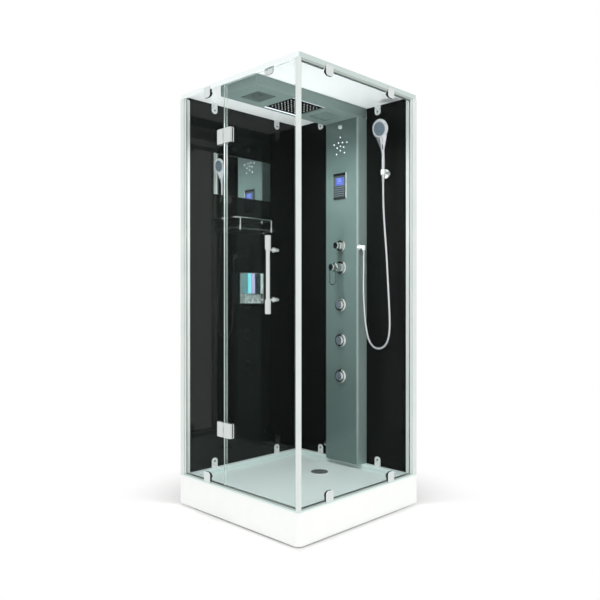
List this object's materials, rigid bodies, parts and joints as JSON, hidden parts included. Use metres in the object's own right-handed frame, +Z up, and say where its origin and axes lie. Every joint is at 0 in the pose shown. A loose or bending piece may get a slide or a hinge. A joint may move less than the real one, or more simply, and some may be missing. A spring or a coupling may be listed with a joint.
{
  "type": "steam shower cabin",
  "caption": "Square steam shower cabin for a room corner, with a hinged glass door, black glass walls, a control column with mixer and jets, a handset, a rain head and a low tray.",
  "frame": {"origin": "on the floor under the middle of the tray, at the centre of the middle foot's sole", "axes": "+Z up, -Y out through the glass door, +X out through the fixed side glass; the black walls are at -X and +Y"},
  "size_m": [0.9035, 0.9455, 2.2],
  "materials": {
    "white_acrylic": "gloss",
    "zinc_steel": "zinc plated",
    "white_plastic": "satin",
    "chrome": "polished",
    "dark_chrome": "polished, dark",
    "steel": "ground",
    "black_glass": "polished, back painted black",
    "clear_glass": "clear, polished",
    "satin_aluminium": "satin anodised",
    "rail_aluminium": "satin anodised",
    "pale_plastic": "gloss",
    "pale_metal": "gloss",
    "clear_seal": "clear",
    "grey_abs": "gloss, metallic grey green",
    "dark_abs": "gloss",
    "black_plastic": "matt",
    "light_lens": "clear",
    "blue_display": "gloss",
    "brass": "bare",
    "brushed_steel": "brushed",
    "hose_steel": "spiral wound, polished",
    "silver_plastic": "chrome plated",
    "mirror": "silvered",
    "grey_plastic": "gloss",
    "tinted_plastic": "translucent, tinted",
    "chrome_plastic": "chrome plated"
  },
  "bodies": {
    "cabin": {"tray": "white_acrylic", "tray_skirt": "white_acrylic", "tray_frame": "zinc_steel", "adjustable_feet": "zinc_steel", "drain_trap": "white_plastic", "left_wall_panel": "black_glass", "back_wall_panels": "black_glass", "rear_corner_profile": "satin_aluminium", "left_end_profile": "satin_aluminium", "right_end_profile": "satin_aluminium", "corner_post": "satin_aluminium", "glass_rails": "rail_aluminium", "front_fixed_glass": "clear_glass", "side_glass": "clear_glass", "roof_panel": "pale_plastic", "glass_clamps": "chrome", "panel_clips": "pale_metal", "fasteners": "dark_chrome", "hinge_fixed_plates": "chrome", "hinge_pins": "steel", "column_shell": "grey_abs", "column_leds": "light_lens", "speaker": "black_plastic", "control_panel": "dark_abs", "display_screen": "blue_display", "valve_plates": "chrome", "jet_rings": "chrome", "water_pipes": "brass", "steam_generator": "brushed_steel", "ceiling_box": "grey_abs", "rain_head": "dark_chrome", "ceiling_lights": "light_lens", "fan_grille": "grey_abs", "fan_housing": "black_plastic", "hose_elbow": "chrome", "shower_hose": "hose_steel", "handset_bracket": "chrome", "mirror": "mirror", "shelf_glass": "clear_glass", "shelf_rail": "chrome", "dispenser_body": "grey_plastic", "dispenser_chambers": "tinted_plastic"},
    "door": {"door_glass": "clear_glass", "door_hinge_plates": "chrome", "door_handle": "chrome", "handle_mounts": "chrome", "door_seals": "clear_seal"},
    "drain_cover": {"drain_cover": "chrome"},
    "diverter_knob": {"diverter_knob": "chrome"},
    "mixer_barrel": {"mixer_barrel": "chrome"},
    "mixer_loop": {"mixer_loop": "chrome"},
    "jet_nozzle_upper": {"jet_nozzle_upper": "chrome"},
    "jet_nozzle_middle": {"jet_nozzle_middle": "chrome"},
    "jet_nozzle_lower": {"jet_nozzle_lower": "chrome"},
    "handset": {"handset": "silver_plastic"},
    "fan_rotor": {"fan_rotor": "black_plastic"},
    "dispenser_lid": {"dispenser_lid": "grey_plastic"},
    "dispenser_button_1": {"dispenser_button_1": "chrome_plastic"},
    "dispenser_button_2": {"dispenser_button_2": "chrome_plastic"},
    "dispenser_button_3": {"dispenser_button_3": "chrome_plastic"}
  },
  "joints": [
    {"name": "door_hinge", "type": "hinge", "parent": "cabin", "child": "door", "pos_m": [-0.0735, -0.448, 1.1], "axis": [0, 0, -1], "range_deg": [0, 100]},
    {"name": "drain_cover_lift", "type": "slide", "parent": "cabin", "child": "drain_cover", "axis": [0, 0, 1], "range_m": [0, 0.04]},
    {"name": "diverter_turn", "type": "hinge", "parent": "cabin", "child": "diverter_knob", "pos_m": [-0.012, 0.33, 1.412], "axis": [0, -1, 0], "range_deg": [-90, 90]},
    {"name": "mixer_turn", "type": "hinge", "parent": "cabin", "child": "mixer_barrel", "pos_m": [-0.012, 0.31, 1.286], "axis": [0, -1, 0], "range_deg": [-45, 45]},
    {"name": "mixer_lift", "type": "hinge", "parent": "mixer_barrel", "child": "mixer_loop", "pos_m": [-0.012, 0.2866, 1.286], "axis": [-1, 0, 0], "range_deg": [0, 25]},
    {"name": "handset_lift", "type": "slide", "parent": "cabin", "child": "handset", "axis": [0, 0, 1], "range_m": [0, 0.05]},
    {"name": "fan_spin", "type": "hinge", "parent": "cabin", "child": "fan_rotor", "pos_m": [-0.012, -0.278, 2.156], "axis": [0, 0, 1], "continuous": true},
    {"name": "dispenser_lid_hinge", "type": "hinge", "parent": "cabin", "child": "dispenser_lid", "pos_m": [-0.4195, 0.006, 1.2549], "axis": [0, -1, 0], "range_deg": [0, 80]},
    {"name": "jet_upper_tilt", "type": "hinge", "parent": "cabin", "child": "jet_nozzle_upper", "pos_m": [-0.012, 0.355, 1.071], "axis": [1, 0, 0], "range_deg": [-15, 15]},
    {"name": "jet_middle_tilt", "type": "hinge", "parent": "cabin", "child": "jet_nozzle_middle", "pos_m": [-0.012, 0.355, 0.865], "axis": [1, 0, 0], "range_deg": [-15, 15]},
    {"name": "jet_lower_tilt", "type": "hinge", "parent": "cabin", "child": "jet_nozzle_lower", "pos_m": [-0.012, 0.355, 0.659], "axis": [1, 0, 0], "range_deg": [-15, 15]},
    {"name": "button_1_press", "type": "slide", "parent": "cabin", "child": "dispenser_button_1", "axis": [-1, 0, 0], "range_m": [0, 0.005], "stiffness_N_per_m": 200},
    {"name": "button_2_press", "type": "slide", "parent": "cabin", "child": "dispenser_button_2", "axis": [-1, 0, 0], "range_m": [0, 0.005], "stiffness_N_per_m": 200},
    {"name": "button_3_press", "type": "slide", "parent": "cabin", "child": "dispenser_button_3", "axis": [-1, 0, 0], "range_m": [0, 0.005], "stiffness_N_per_m": 200}
  ]
}
